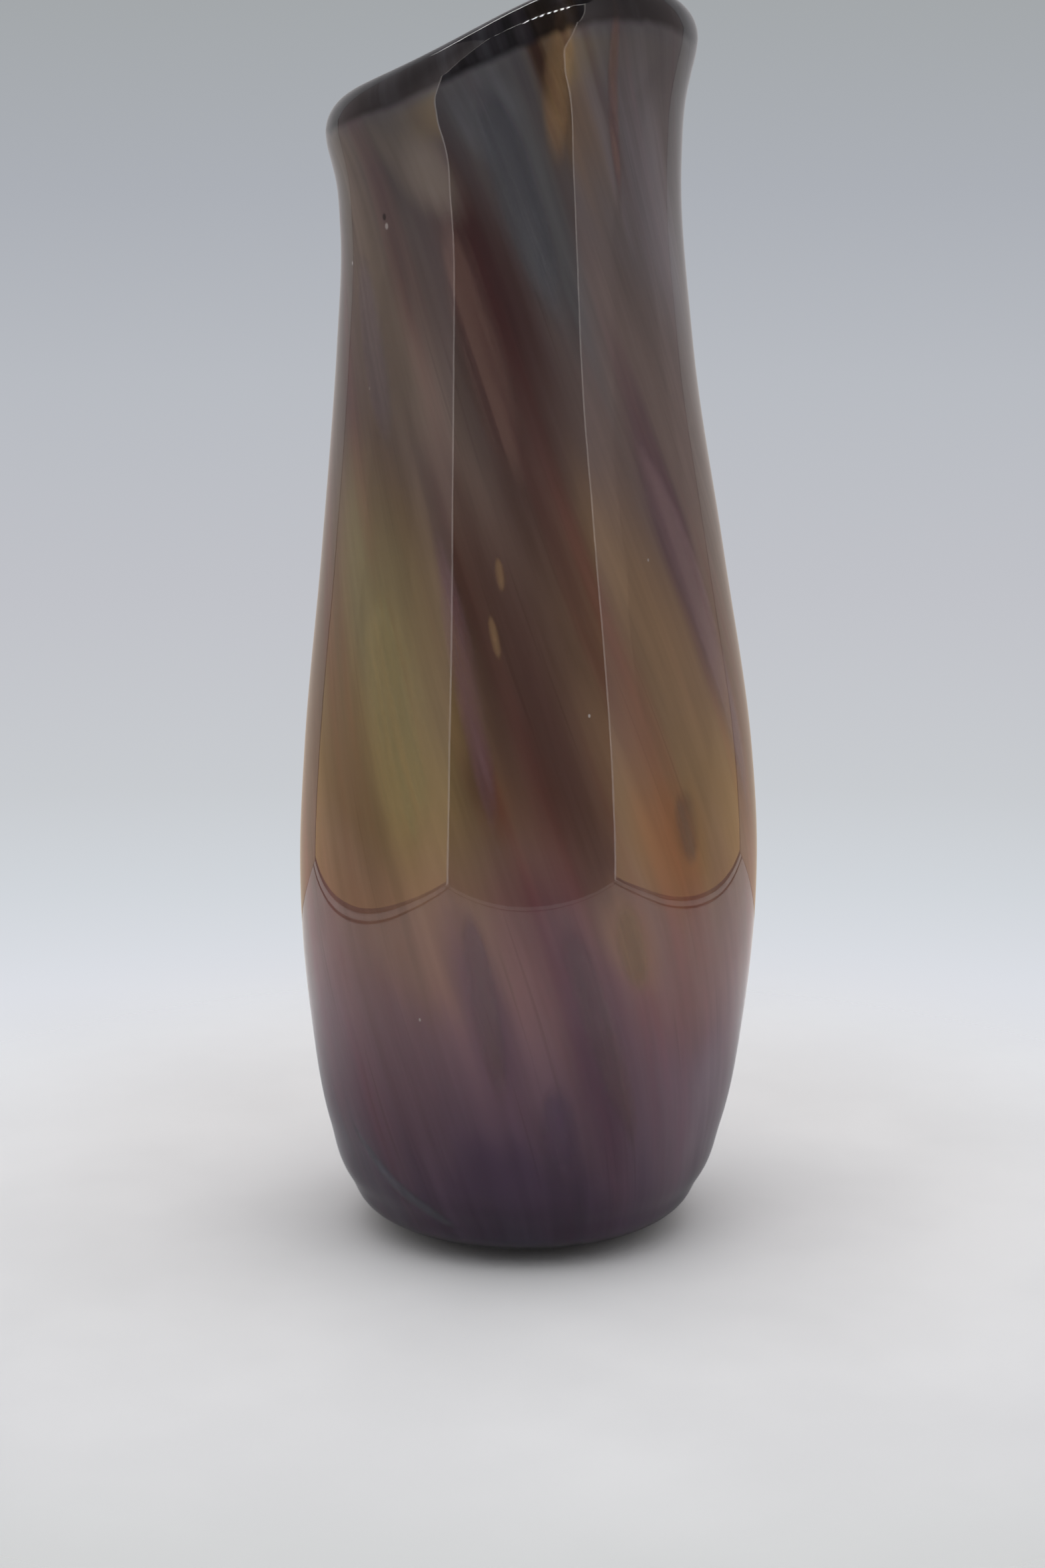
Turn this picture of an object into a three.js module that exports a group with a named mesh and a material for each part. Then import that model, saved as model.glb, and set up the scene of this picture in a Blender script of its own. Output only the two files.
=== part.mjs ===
// Hand blown art glass vase, modelled the way it is blown: a clear inner gather holds the
// bubble, a mottled colour overlay covers it, separate pieces of coloured glass are picked
// up on the overlay, and a clear casing covers everything and is fire-polished at the lip.
// Millimetres, +Z up. The origin is on the table under the belly's centre, and -Y is the front.

import * as THREE from 'three';

// ---- Driving dimensions ----

// The lip flares out to its widest ring, then rolls softly inwards over the mouth.
const LIP_RADIUS = 45; // at the widest ring
const LIP_HEIGHT = 288; // mean height of the widest ring
const ROLL = { reach: 7, rise: 8.2, turn: 110 }; // radii of the roll's bend, and its degrees
const RIDGE_HEIGHT = LIP_HEIGHT + ROLL.rise;

// Hand shaping leaves the lip slanting and wavy: [lobes, height, degrees turned about Z].
const LIP_WAVES = [[1, 14.3, -15], [2, -3.1, -14], [3, -2.6, 3]];
const LIP_WARP_START = 200; // below this height the body is level

const FOOT_RADIUS = 28; // outer edge of the flat ground ring
const PONTIL_RADIUS = 19; // the ring's inner edge, where the polished recess begins
const PONTIL_DEPTH = 2.2;

// The outer skin as [height, radius]: a round heel, a full belly, a neck and the lip's flare.
const OUTLINE = [
  [0, FOOT_RADIUS], [3, 36.4], [13, 45.7], [27, 50.6], [55, 55.5], [97, 58], [124, 56.4],
  [174, 50], [225, 43.7], [262, 41.6], [276, 42.6], [281, 43.7], [285, 44.65],
  [LIP_HEIGHT, LIP_RADIUS],
];

// The body's slow sideways drift as [height, shift along X].
const LEAN = [[0, -1], [60, -0.1], [125, 0.1], [175, -1.3], [225, -3.3], [260, -4.2], [300, -3.7]];

// Wall build-up from the outer skin inwards. The clear layers thin out towards the lip.
const GAP = 0.35; // clearance between neighbouring pieces
const CASING = { body: 1.2, lip: 0.8 };
const STREAK = 0.5;
const OVERLAY = 0.5;
const GATHER = { body: 1.3, lip: 0.6 };
const THINNING_START = 240;

const CASING_FLOOR = 4.2; // heights of the layers' floors above the table
const OVERLAY_FLOOR = 5.3;
const GATHER_FLOOR = 12;
const FLOOR_ROUNDING = 14; // how far the inner floor curves up into the wall
const LAYERS_TURN = 95; // degrees round the roll where the inner layers end

const SEGMENTS = 48; // around the axis
const ROWS = 19; // up the wall
const ROLL_ROWS = 8; // round the rolled lip
const STREAK_STEPS = 11; // along a coloured streak
const STREAK_COLUMNS = 3; // across a coloured streak

// ---- Shape functions ----

/** Smooth curve through [position, value] points, with each slope from the parabola there. */
function smoothThrough(points) {
  const last = points.length - 1;
  const secant = (i) => (points[i + 1][1] - points[i][1]) / (points[i + 1][0] - points[i][0]);
  const slopes = points.map((_, i) => {
    if (i === 0 || i === last) return 0;
    const before = points[i][0] - points[i - 1][0];
    const after = points[i + 1][0] - points[i][0];
    return (after * secant(i - 1) + before * secant(i)) / (before + after);
  });
  slopes[0] = 2 * secant(0) - slopes[1];
  slopes[last] = 2 * secant(last - 1) - slopes[last - 1];
  return (x) => {
    let i = 0;
    while (i < last - 1 && x > points[i + 1][0]) i += 1;
    const width = points[i + 1][0] - points[i][0];
    const t = (x - points[i][0]) / width;
    const rise = t * t * (3 - 2 * t);
    return points[i][1] * (1 - rise) + points[i + 1][1] * rise
      + width * t * (1 - t) * (slopes[i] * (1 - t) - slopes[i + 1] * t);
  };
}

const radiusAt = smoothThrough(OUTLINE);
const leanAt = smoothThrough(LEAN);

/** How far the lip stands above its mean height at an angle. */
function lipRise(angle) {
  return LIP_WAVES.reduce((sum, [lobes, height, turn]) => (
    sum + height * Math.cos(lobes * (angle - THREE.MathUtils.degToRad(turn)))
  ), 0);
}

/** Moves a point of the level, straight vase to its place on the leaning, wavy one. */
function warp(angle, radius, height) {
  const share = THREE.MathUtils.smoothstep(height, LIP_WARP_START, RIDGE_HEIGHT);
  const x = leanAt(height) + radius * Math.cos(angle);
  const z = height + share * lipRise(angle);
  return new THREE.Vector3(x, radius * Math.sin(angle), z);
}

// A level is a place along the skin: its height up to the widest ring, then on round the roll.

/** The level at an angle round the roll. */
function rollLevel(degrees) {
  return LIP_HEIGHT + ROLL.rise * THREE.MathUtils.degToRad(degrees);
}

/** The skin's [radius, height] at a level, and the [radius, height] of its outward normal. */
function skinAt(level) {
  if (level <= LIP_HEIGHT) {
    const slope = (radiusAt(level + 0.01) - radiusAt(level - 0.01)) / 0.02;
    const length = Math.hypot(1, slope);
    return { point: [radiusAt(level), level], normal: [1 / length, -slope / length] };
  }
  const turn = (level - LIP_HEIGHT) / ROLL.rise;
  const [out, up] = [Math.cos(turn), Math.sin(turn)];
  const length = Math.hypot(out / ROLL.reach, up / ROLL.rise);
  return {
    point: [LIP_RADIUS + ROLL.reach * (out - 1), LIP_HEIGHT + ROLL.rise * up],
    normal: [out / ROLL.reach / length, up / ROLL.rise / length],
  };
}

/** Thickness of a clear layer at a level. */
function thickness(layer, level) {
  const share = THREE.MathUtils.smoothstep(level, THINNING_START, LIP_HEIGHT);
  return THREE.MathUtils.lerp(layer.body, layer.lip, share);
}

// Depths under the outer skin, measured square to it.
const casingBack = (level) => thickness(CASING, level);
const streakFront = (level) => casingBack(level) + GAP;
const streakBack = (level) => streakFront(level) + STREAK;
const overlayFront = (level) => streakBack(level) + GAP;
const overlayBack = (level) => overlayFront(level) + OVERLAY;
const gatherFront = (level) => overlayBack(level) + GAP;
const gatherBack = (level) => gatherFront(level) + thickness(GATHER, level);

/** The [radius, height] that lies square under the skin's point at a level. */
function inset(level, depthAt) {
  const { point, normal } = skinAt(level);
  const depth = depthAt(level);
  return [point[0] - depth * normal[0], point[1] - depth * normal[1]];
}

// Rows crowd towards the heel and the lip, where the outline bends, and go on round the roll.
const ROW_LEVELS = [
  ...Array.from({ length: ROWS + 1 }, (_, row) => (
    LIP_HEIGHT * (1 - Math.cos((Math.PI * row) / ROWS)) / 2
  )),
  ...Array.from({ length: ROLL_ROWS }, (_, row) => rollLevel((ROLL.turn * (row + 1)) / ROLL_ROWS)),
];

/** One layer face from its floor's height to a top level, as [radius, height] points. */
function layerFace(depthAt, floor, top) {
  const rows = ROW_LEVELS.filter((level) => level < top - 1).map((level) => inset(level, depthAt));
  const wall = rows.filter(([, height]) => height > floor + 1);
  return [[inset(floor, depthAt)[0], floor], ...wall, inset(top, depthAt)];
}

/** Turns a loop of [radius, height], from axis to axis, into one closed body. */
function revolve(loop) {
  const positions = [];
  const indices = [];
  const bottom = warp(0, 0, loop[0][1]);
  const top = warp(0, 0, loop[loop.length - 1][1]);
  const rings = loop.slice(1, -1);
  positions.push(...bottom.toArray(), ...top.toArray());
  for (const [radius, height] of rings) {
    for (let segment = 0; segment < SEGMENTS; segment += 1) {
      const angle = (2 * Math.PI * segment) / SEGMENTS;
      positions.push(...warp(angle, radius, height).toArray());
    }
  }
  const at = (ring, segment) => 2 + ring * SEGMENTS + (segment % SEGMENTS);
  for (let segment = 0; segment < SEGMENTS; segment += 1) {
    indices.push(0, at(0, segment + 1), at(0, segment));
    for (let ring = 0; ring < rings.length - 1; ring += 1) {
      const [a, b] = [at(ring, segment), at(ring, segment + 1)];
      const [c, d] = [at(ring + 1, segment + 1), at(ring + 1, segment)];
      indices.push(a, b, c, a, c, d);
    }
    indices.push(1, at(rings.length - 1, segment), at(rings.length - 1, segment + 1));
  }
  return closedGeometry(positions, indices);
}

function closedGeometry(positions, indices) {
  const geometry = new THREE.BufferGeometry();
  geometry.setAttribute('position', new THREE.Float32BufferAttribute(positions, 3));
  geometry.setIndex(indices);
  geometry.computeVertexNormals();
  return geometry;
}

/** A point in the wall, on the same flat facets that the revolved layers have. */
function onFacets(angle, level, depthAt) {
  const turn = (angle / (2 * Math.PI)) * SEGMENTS;
  const segment = Math.floor(turn);
  const row = Math.max(ROW_LEVELS.findIndex((edge) => edge >= level), 1) - 1;
  const up = (level - ROW_LEVELS[row]) / (ROW_LEVELS[row + 1] - ROW_LEVELS[row]);
  const corner = (side, above) => {
    const cornerAngle = (2 * Math.PI * (segment + side)) / SEGMENTS;
    return warp(cornerAngle, ...inset(ROW_LEVELS[row + above], depthAt));
  };
  const low = corner(0, 0).lerp(corner(1, 0), turn - segment);
  const high = corner(0, 1).lerp(corner(1, 1), turn - segment);
  return low.lerp(high, up);
}

/** A lens-ended piece of glass along a route of [angle in degrees, level]. */
function streak(route, width) {
  const curve = new THREE.CatmullRomCurve3(
    route.map(([degrees, level]) => new THREE.Vector3(degrees, level, 0)),
  );
  const positions = [];
  for (const depthAt of [streakBack, streakFront]) {
    for (let step = 0; step <= STREAK_STEPS; step += 1) {
      const along = step / STREAK_STEPS;
      const centre = curve.getPoint(along);
      const heading = curve.getTangent(along);
      const degree = (radiusAt(centre.y) * Math.PI) / 180;
      const side = new THREE.Vector2(-heading.y, heading.x * degree).normalize();
      const half = (width / 2) * (0.12 + 0.88 * Math.sin(Math.PI * along) ** 0.7);
      for (let column = 0; column <= STREAK_COLUMNS; column += 1) {
        const across = half * ((2 * column) / STREAK_COLUMNS - 1);
        const angle = THREE.MathUtils.degToRad(centre.x + (across * side.x) / degree);
        positions.push(...onFacets(angle, centre.y + across * side.y, depthAt).toArray());
      }
    }
  }
  return closedGeometry(positions, slabIndices(STREAK_STEPS, STREAK_COLUMNS));
}

/** Triangles of a slab whose back grid of points comes first and its front grid second. */
function slabIndices(steps, columns) {
  const layer = (steps + 1) * (columns + 1);
  const at = (face, step, column) => face * layer + step * (columns + 1) + column;
  const indices = [];
  const quad = (a, b, c, d) => indices.push(a, b, c, a, c, d);
  for (let i = 0; i < steps; i += 1) {
    for (let j = 0; j < columns; j += 1) {
      quad(at(1, i, j), at(1, i + 1, j), at(1, i + 1, j + 1), at(1, i, j + 1));
      quad(at(0, i, j), at(0, i, j + 1), at(0, i + 1, j + 1), at(0, i + 1, j));
    }
    quad(at(0, i, 0), at(0, i + 1, 0), at(1, i + 1, 0), at(1, i, 0));
    quad(at(0, i, columns), at(1, i, columns), at(1, i + 1, columns), at(0, i + 1, columns));
  }
  for (let j = 0; j < columns; j += 1) {
    quad(at(0, 0, j), at(1, 0, j), at(1, 0, j + 1), at(0, 0, j + 1));
    quad(at(0, steps, j), at(0, steps, j + 1), at(1, steps, j + 1), at(1, steps, j));
  }
  return indices;
}

// ---- The three blown layers ----

const TIP = rollLevel(ROLL.turn);
const SHELF = rollLevel(LAYERS_TURN);

/** Clear outer casing: foot ring, outer skin, rolled lip, rounded tip and the shelf behind it. */
function casingGeometry() {
  const { normal } = skinAt(TIP);
  const centre = inset(TIP, (level) => gatherBack(level) / 2);
  const rounding = gatherBack(TIP) / 2;
  const tip = Array.from({ length: 4 }, (_, i) => {
    const [out, along] = [Math.cos((Math.PI * (i + 1)) / 5), Math.sin((Math.PI * (i + 1)) / 5)];
    return [
      centre[0] + rounding * (out * normal[0] - along * normal[1]),
      centre[1] + rounding * (out * normal[1] + along * normal[0]),
    ];
  });
  const lining = ROW_LEVELS.filter((level) => level > SHELF + 1).map((level) => (
    inset(level, gatherBack)
  ));
  return revolve([
    [0, PONTIL_DEPTH], [PONTIL_RADIUS * 0.6, PONTIL_DEPTH * 0.64], [PONTIL_RADIUS, 0],
    ...layerFace(() => 0, 0, TIP), ...tip,
    ...lining.reverse(), inset(SHELF, gatherBack),
    ...layerFace(casingBack, CASING_FLOOR, SHELF).reverse(), [0, CASING_FLOOR],
  ]);
}

/** Mottled colour overlay: a thin cup between the casing and the inner gather. */
function overlayGeometry() {
  const top = SHELF - GAP;
  return revolve([
    [0, CASING_FLOOR + GAP],
    ...layerFace(overlayFront, CASING_FLOOR + GAP, top),
    ...layerFace(overlayBack, OVERLAY_FLOOR, top).reverse(),
    [0, OVERLAY_FLOOR],
  ]);
}

/** Clear inner gather: the wall that holds the bubble, with a thick rounded floor. */
function gatherGeometry() {
  const top = SHELF - GAP;
  const wallFoot = GATHER_FLOOR + FLOOR_ROUNDING;
  const wallRadius = inset(wallFoot, gatherBack)[0];
  const floor = Array.from({ length: 4 }, (_, i) => {
    const turn = (Math.PI / 2) * ((4 - i) / 5);
    return [wallRadius * Math.sin(turn), wallFoot - FLOOR_ROUNDING * Math.cos(turn)];
  });
  return revolve([
    [0, OVERLAY_FLOOR + GAP],
    ...layerFace(gatherFront, OVERLAY_FLOOR + GAP, top),
    ...layerFace(gatherBack, wallFoot, top).reverse(),
    ...floor,
    [0, GATHER_FLOOR],
  ]);
}

// ---- Coloured pieces picked up on the overlay ----

const GLASS_COLOURS = {
  slate: 0x5d6574,
  amber: 0x9a6a34,
  brown: 0x4a2f26,
  purple: 0x4d3a48,
  plum: 0x3c2630,
  olive: 0x756340,
  lilac: 0x6e6068,
  indigo: 0x3a2f42,
  blueGrey: 0x6c7786,
};

const STREAKS = [
  // The front, from the lip down to the foot.
  ['slate_neck_swath', 'slate', 13, [[-102, 286], [-93, 268], [-83, 246], [-71, 221]]],
  ['amber_lip_streak', 'amber', 10, [[-72, 299], [-74, 287], [-75, 272], [-73, 254]]],
  ['brown_neck_strand', 'brown', 4, [[-58, 298], [-56, 280], [-53, 262], [-50, 244]]],
  ['russet_neck_swath', 'brown', 14, [[-114, 266], [-105, 238], [-96, 213], [-88, 188]]],
  ['lilac_shoulder_swath', 'lilac', 12, [[-152, 258], [-142, 228], [-131, 198]]],
  ['purple_side_ribbon', 'purple', 12, [[-57, 214], [-44, 188], [-32, 160], [-22, 128], [-15, 100]]],
  ['plum_twist_strand', 'plum', 9, [[-118, 194], [-111, 170], [-106, 150], [-101, 128], [-97, 106]]],
  ['amber_shard_upper', 'amber', 3, [[-97, 179], [-95.5, 169]]],
  ['amber_shard_lower', 'amber', 3, [[-99.5, 166], [-96.5, 153]]],
  ['olive_belly_field', 'olive', 24, [[-137, 178], [-129, 150], [-123, 125], [-121, 101]]],
  ['brown_belly_patch', 'brown', 10, [[-49, 124], [-46, 100]]],
  ['plum_lower_left_streak', 'plum', 9, [[-105, 98], [-101, 73], [-95, 40]]],
  ['plum_lower_right_streak', 'plum', 10, [[-83, 99], [-72, 66], [-56, 26]]],
  ['amber_lower_patch', 'amber', 10, [[-67, 98], [-64, 85], [-60, 70]]],
  ['indigo_heel_patch', 'indigo', 12, [[-83, 54], [-81, 38], [-77, 22]]],
  ['blue_grey_heel_trail', 'blueGrey', 5, [[-150, 37], [-137, 23], [-122, 14], [-109, 8]]],
  // The back, the same twist carried round.
  ['slate_back_swath', 'slate', 12, [[70, 280], [82, 250], [95, 220], [108, 190]]],
  ['amber_back_lip_streak', 'amber', 5, [[40, 287], [44, 270], [50, 255]]],
  ['plum_back_strand', 'plum', 6, [[25, 230], [35, 200], [48, 165], [58, 130]]],
  ['purple_back_ribbon', 'purple', 11, [[62, 192], [77, 155], [90, 120]]],
  ['olive_back_field', 'olive', 18, [[150, 160], [158, 130], [163, 105]]],
  ['amber_back_patch', 'amber', 9, [[20, 100], [28, 78]]],
  ['plum_back_lower_streak', 'plum', 7, [[120, 90], [132, 60], [146, 30]]],
];

// ---- Assembly ----

/** A glass material: coloured, very smooth and not metallic. */
function glass(colour, opacity = 1) {
  return new THREE.MeshStandardMaterial({
    color: colour, roughness: 0.05, metalness: 0, transparent: opacity < 1, opacity,
  });
}

function piece(name, geometry, material) {
  const mesh = new THREE.Mesh(geometry, material);
  mesh.name = name;
  return mesh;
}

const vase = new THREE.Group();
vase.name = 'art_glass_vase';
vase.add(
  piece('clear_casing', casingGeometry(), glass(0xd8dcdc, 0.35)),
  piece('colour_overlay', overlayGeometry(), glass(0x5a4a48)),
  piece('inner_gather', gatherGeometry(), glass(0xc8ccca, 0.35)),
);
for (const [name, colour, width, route] of STREAKS) {
  vase.add(piece(name, streak(route, width), glass(GLASS_COLOURS[colour])));
}

export default vase;
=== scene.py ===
"""Hand blown art glass vase: clear casing over feathered streaks of coloured glass on a mottled
overlay, with a clear inner gather, standing in a soft light box. Metres, in the frame of the CAD."""

import math

import bpy
import numpy as np
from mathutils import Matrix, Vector


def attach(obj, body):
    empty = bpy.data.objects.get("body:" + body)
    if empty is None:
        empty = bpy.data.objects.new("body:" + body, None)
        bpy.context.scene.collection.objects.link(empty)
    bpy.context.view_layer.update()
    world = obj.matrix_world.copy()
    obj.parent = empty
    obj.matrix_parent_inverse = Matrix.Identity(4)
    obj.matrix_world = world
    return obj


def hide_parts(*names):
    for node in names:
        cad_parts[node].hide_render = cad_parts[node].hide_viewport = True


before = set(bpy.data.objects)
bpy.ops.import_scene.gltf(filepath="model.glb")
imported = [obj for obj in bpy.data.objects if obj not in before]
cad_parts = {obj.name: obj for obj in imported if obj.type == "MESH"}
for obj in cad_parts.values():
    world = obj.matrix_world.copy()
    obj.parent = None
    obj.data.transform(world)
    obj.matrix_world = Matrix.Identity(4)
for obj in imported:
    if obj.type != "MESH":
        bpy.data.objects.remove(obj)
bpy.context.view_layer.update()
BODY = "root"
MM = 0.001

# ---- Shape of the vase, in millimetres, as the CAD has it ----

LIP_RADIUS, LIP_HEIGHT = 45, 288
ROLL_REACH, ROLL_RISE = 7, 8.2
RIDGE_HEIGHT = LIP_HEIGHT + ROLL_RISE
LIP_WAVES = [(1, 14.3, -15), (2, -3.1, -14), (3, -2.6, 3)]
LIP_WARP_START = 200
PONTIL_RADIUS, PONTIL_DEPTH = 19, 2.2
OUTLINE = [
    (0, 28), (3, 36.4), (13, 45.7), (27, 50.6), (55, 55.5), (97, 58), (124, 56.4),
    (174, 50), (225, 43.7), (262, 41.6), (276, 42.6), (281, 43.7), (285, 44.65),
    (LIP_HEIGHT, LIP_RADIUS),
]
LEAN = [(0, -1), (60, -0.1), (125, 0.1), (175, -1.3), (225, -3.3), (260, -4.2), (300, -3.7)]

GAP = 0.35
CASING = (1.2, 0.8)  # in the body and at the lip
STREAK = 0.5
OVERLAY = 0.5
GATHER = (1.3, 0.6)  # in the body and at the lip
THINNING_START = 240
CASING_FLOOR, OVERLAY_FLOOR, GATHER_FLOOR = 4.2, 5.3, 12
FLOOR_ROUNDING = 14
SKIN = 0.15  # the smooth skin lies this deep, inside the faceted one of the CAD
SINK = 0.15  # how deep the clear layers' hidden faces lie in the overlay, so that glass meets it

SEGMENTS = 192
ROWS, ROLL_ROWS = 104, 40


def smooth_through(points):
    """Smooth curve through (position, value) points, with each slope from the parabola there."""
    x, y = np.array(points, float).T
    width = np.diff(x)
    secant = np.diff(y) / width
    slope = np.zeros(len(x))
    slope[1:-1] = (width[1:] * secant[:-1] + width[:-1] * secant[1:]) / (width[1:] + width[:-1])
    slope[0] = 2 * secant[0] - slope[1]
    slope[-1] = 2 * secant[-1] - slope[-2]

    def value(at):
        at = np.asarray(at, float)
        i = np.clip(np.searchsorted(x, at) - 1, 0, len(width) - 1)
        t = (at - x[i]) / width[i]
        rise = t * t * (3 - 2 * t)
        bend = width[i] * t * (1 - t) * (slope[i] * (1 - t) - slope[i + 1] * t)
        return y[i] * (1 - rise) + y[i + 1] * rise + bend

    return value


radius_at = smooth_through(OUTLINE)
lean_at = smooth_through(LEAN)


def smoothstep(value, low, high):
    t = np.clip((value - low) / (high - low), 0, 1)
    return t * t * (3 - 2 * t)


def lip_rise(angle):
    waves = [
        height * np.cos(lobes * (angle - math.radians(turn))) for lobes, height, turn in LIP_WAVES
    ]
    return sum(waves)


def warp(angle, radius, height):
    """Places points of the level, straight vase on the leaning, wavy one, in metres."""
    share = smoothstep(height, LIP_WARP_START, RIDGE_HEIGHT)
    x = lean_at(height) + radius * np.cos(angle)
    z = height + share * lip_rise(angle)
    return np.stack(np.broadcast_arrays(x, radius * np.sin(angle), z), -1) * MM


# A level is a place along the skin: its height up to the widest ring, then on round the roll.


def roll_level(degrees):
    return LIP_HEIGHT + ROLL_RISE * math.radians(degrees)


def skin_at(level):
    """The skin's radius and height at a level, and the radius and height of its normal."""
    wall = np.minimum(level, LIP_HEIGHT)
    slope = (radius_at(wall + 0.01) - radius_at(wall - 0.01)) / 0.02
    turn = (level - wall) / ROLL_RISE
    out, up = np.cos(turn) / ROLL_REACH, np.sin(turn) / ROLL_RISE
    rolled = level > LIP_HEIGHT
    length = np.where(rolled, np.hypot(out, up), np.hypot(1, slope))
    radius = np.where(rolled, LIP_RADIUS + ROLL_REACH * (np.cos(turn) - 1), radius_at(wall))
    height = wall + ROLL_RISE * np.sin(turn)
    return radius, height, np.where(rolled, out, 1) / length, np.where(rolled, up, -slope) / length


def thickness(layer, level):
    body, lip = layer
    return body + (lip - body) * smoothstep(level, THINNING_START, LIP_HEIGHT)


def streak_front(height):
    return thickness(CASING, height) + GAP


def overlay_front(height):
    return streak_front(height) + STREAK + GAP


def casing_back(height):
    return overlay_front(height) + SINK


def overlay_back(height):
    return overlay_front(height) + OVERLAY


def gather_front(height):
    return overlay_back(height) - SINK


def gather_back(height):
    return overlay_back(height) + GAP + thickness(GATHER, height)


def inset(level, depth_at):
    """The radius and height that lie square under the skin's point at a level."""
    radius, height, out, up = skin_at(level)
    return radius - depth_at(level) * out, height - depth_at(level) * up


TIP, SHELF = roll_level(110), roll_level(95)
ROW_LEVELS = np.concatenate([
    LIP_HEIGHT * (1 - np.cos(np.pi * np.arange(ROWS + 1) / ROWS)) / 2,
    LIP_HEIGHT + (TIP - LIP_HEIGHT) * np.arange(1, ROLL_ROWS + 1) / ROLL_ROWS,
])


def layer_face(depth_at, floor, top):
    """One layer face from its floor's height to a top level, as (radius, height) points."""
    radii, heights = inset(ROW_LEVELS, depth_at)
    inside = (heights > floor + 0.2) & (ROW_LEVELS < top - 0.2)
    wall = list(zip(radii[inside], heights[inside]))
    return [(inset(floor, depth_at)[0], floor), *wall, inset(top, depth_at)]


# ---- Mesh code ----


def new_piece(name, points, faces, slot, replaced, material):
    """A piece of the vase that stands in for CAD nodes."""
    mesh = bpy.data.meshes.new(name)
    mesh.from_pydata([tuple(p) for p in points], [], faces)
    mesh.validate()
    mesh.shade_smooth()
    mesh.set_sharp_from_angle(angle=math.radians(50))
    mesh.materials.append(material)
    piece = bpy.data.objects.new(name, mesh)
    bpy.context.scene.collection.objects.link(piece)
    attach(piece, BODY)
    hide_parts(*replaced)
    return piece


def revolve(loop):
    """Points and faces of a closed body from a loop of (radius, height), from axis to axis."""
    angles = 2 * np.pi * np.arange(SEGMENTS) / SEGMENTS
    rings = np.array(loop[1:-1])
    shell = warp(angles[None, :], rings[:, :1], rings[:, 1:]).reshape(-1, 3)
    poles = [warp(0.0, 0.0, np.float64(loop[end][1])) for end in (0, -1)]
    points = [*poles, *shell]

    def at(ring, segment):
        return 2 + ring * SEGMENTS + segment % SEGMENTS

    last = len(rings) - 1
    faces = []
    for s in range(SEGMENTS):
        faces.append((0, at(0, s + 1), at(0, s)))
        faces.append((1, at(last, s), at(last, s + 1)))
        for r in range(last):
            faces.append((at(r, s), at(r, s + 1), at(r + 1, s + 1), at(r + 1, s)))
    return points, faces


def arc(count, start, end):
    """Angles inside a turn, without its two ends."""
    return [start + (end - start) * (i + 1) / (count + 1) for i in range(count)]


def casing_loop():
    pontil = [
        (PONTIL_RADIUS * math.sin(a), PONTIL_DEPTH * (1 - math.sin(a) ** 2))
        for a in arc(12, 0, math.pi / 2)
    ]
    skin = layer_face(lambda level: SKIN, 0, TIP)
    out, up = skin_at(TIP)[2:]
    half = (float(gather_back(TIP)) - SKIN) / 2
    middle = inset(TIP, lambda level: SKIN + half)
    tip = [
        (
            float(middle[0] + half * (math.cos(a) * out - math.sin(a) * up)),
            float(middle[1] + half * (math.cos(a) * up + math.sin(a) * out)),
        )
        for a in arc(13, 0, math.pi)
    ]
    lining = [inset(level, gather_back) for level in ROW_LEVELS[::-1] if level > SHELF + 0.2]
    back = layer_face(casing_back, CASING_FLOOR, SHELF)[::-1]
    shelf = inset(SHELF, gather_back)
    recess = [(0, PONTIL_DEPTH), *pontil, (PONTIL_RADIUS, 0)]
    return [*recess, *skin, *tip, *lining, shelf, *back, (0, CASING_FLOOR)]


def overlay_loop():
    floor = CASING_FLOOR - SINK
    front = layer_face(overlay_front, floor, SHELF)
    back = layer_face(overlay_back, OVERLAY_FLOOR, SHELF)[::-1]
    return [(0, floor), *front, *back, (0, OVERLAY_FLOOR)]


def gather_loop():
    floor = OVERLAY_FLOOR - SINK
    wall_foot = GATHER_FLOOR + FLOOR_ROUNDING
    wall_radius = float(inset(wall_foot, gather_back)[0])
    hollow = [
        (wall_radius * math.sin(a), wall_foot - FLOOR_ROUNDING * math.cos(a))
        for a in arc(15, math.pi / 2, 0)
    ]
    top = SHELF - 0.02
    front = layer_face(gather_front, floor, top)
    back = layer_face(gather_back, wall_foot, top)[::-1]
    return [(0, floor), *front, *back, *hollow, (0, GATHER_FLOOR)]


# ---- Material nodes ----


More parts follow.
